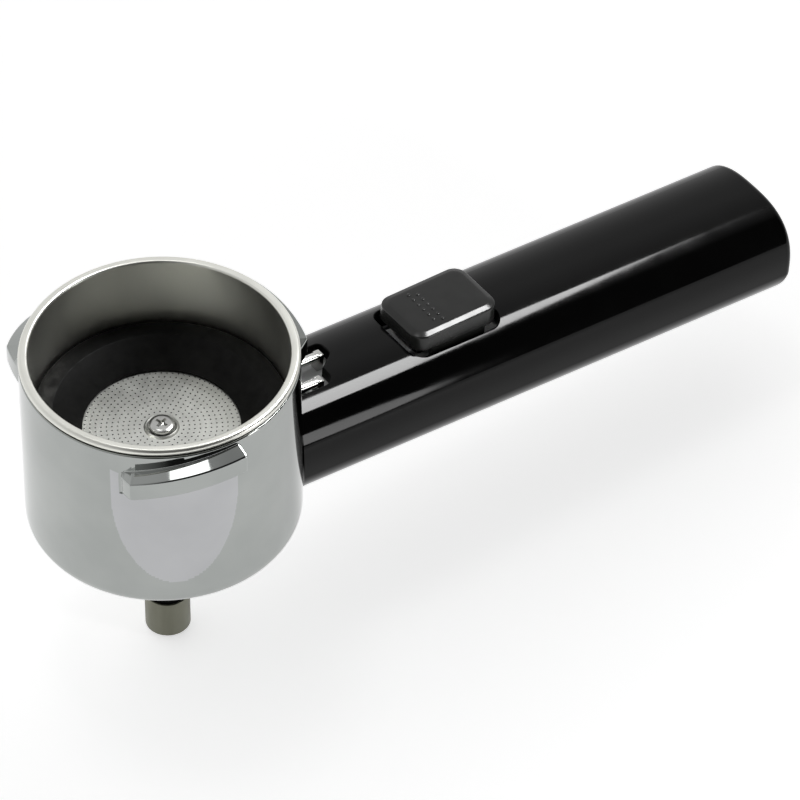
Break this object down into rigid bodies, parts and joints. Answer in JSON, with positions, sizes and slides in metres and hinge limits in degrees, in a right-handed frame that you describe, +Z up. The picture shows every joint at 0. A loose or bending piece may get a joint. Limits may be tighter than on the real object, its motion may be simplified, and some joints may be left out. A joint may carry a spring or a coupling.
{
  "type": "portafilter",
  "caption": "Pod portafilter: chromed bayonet bowl with steel filter basket, black straight handle and a push button that locks the basket.",
  "frame": {"origin": "on the bowl's axis, level with the top of the filter basket's rim, where the group head's gasket meets it", "axes": "+Z up along the bowl's axis, +X along the handle away from the bowl"},
  "size_m": [0.1978, 0.0677, 0.0843],
  "materials": {
    "chrome_casting": "bright chrome plating on a die casting",
    "basket_steel": "satin stainless sheet with fine turned lines",
    "sieve_steel": "fine brushed stainless sheet, perforated",
    "seat_plastic": "fine-grained matte black moulding",
    "handle_plastic": "high-gloss black moulding",
    "button_plastic": "semi-matte dark grey moulding",
    "seal_rubber": "matte black rubber",
    "fastener_steel": "bright zinc-plated steel",
    "spout_steel": "dull grey-brown steel tube"
  },
  "bodies": {
    "holder": {"bowl_body": "chrome_casting", "outlet_pipe": "seat_plastic", "outlet_sleeve": "spout_steel", "outlet_seal": "seal_rubber", "handle_shell": "handle_plastic", "handle_end_cap": "handle_plastic", "bolt_washer": "fastener_steel", "handle_bolt": "fastener_steel", "fork_guide": "seat_plastic", "guide_screw_1": "fastener_steel", "guide_screw_2": "fastener_steel", "fork_spring": "fastener_steel", "button_spring": "fastener_steel"},
    "basket": {"filter_basket": "basket_steel", "pod_seat": "seat_plastic", "sieve_disc": "sieve_steel", "sieve_screw": "fastener_steel", "crema_diffuser": "seat_plastic", "diffuser_gasket": "seal_rubber", "diffuser_nut": "fastener_steel"},
    "button": {"lock_button": "button_plastic"},
    "fork": {"lock_fork": "fastener_steel"}
  },
  "joints": [
    {"name": "basket_lift", "type": "slide", "parent": "holder", "child": "basket", "axis": [0, 0, 1], "range_m": [0, 0.045]},
    {"name": "button_press", "type": "slide", "parent": "holder", "child": "button", "axis": [-0.0948, 0, -0.9955], "range_m": [0, 0.0034], "stiffness_N_per_m": 300, "springref_m": -0.002, "deforming": ["button_spring"]},
    {"name": "fork_slide", "type": "slide", "parent": "holder", "child": "fork", "axis": [-0.9955, 0, 0.0948], "range_m": [0, 0.0034], "stiffness_N_per_m": 400, "springref_m": -0.002, "deforming": ["fork_spring"]}
  ],
  "couplings": [
    {"joint": "fork_slide", "follows": "button_press", "ratio": 1}
  ]
}
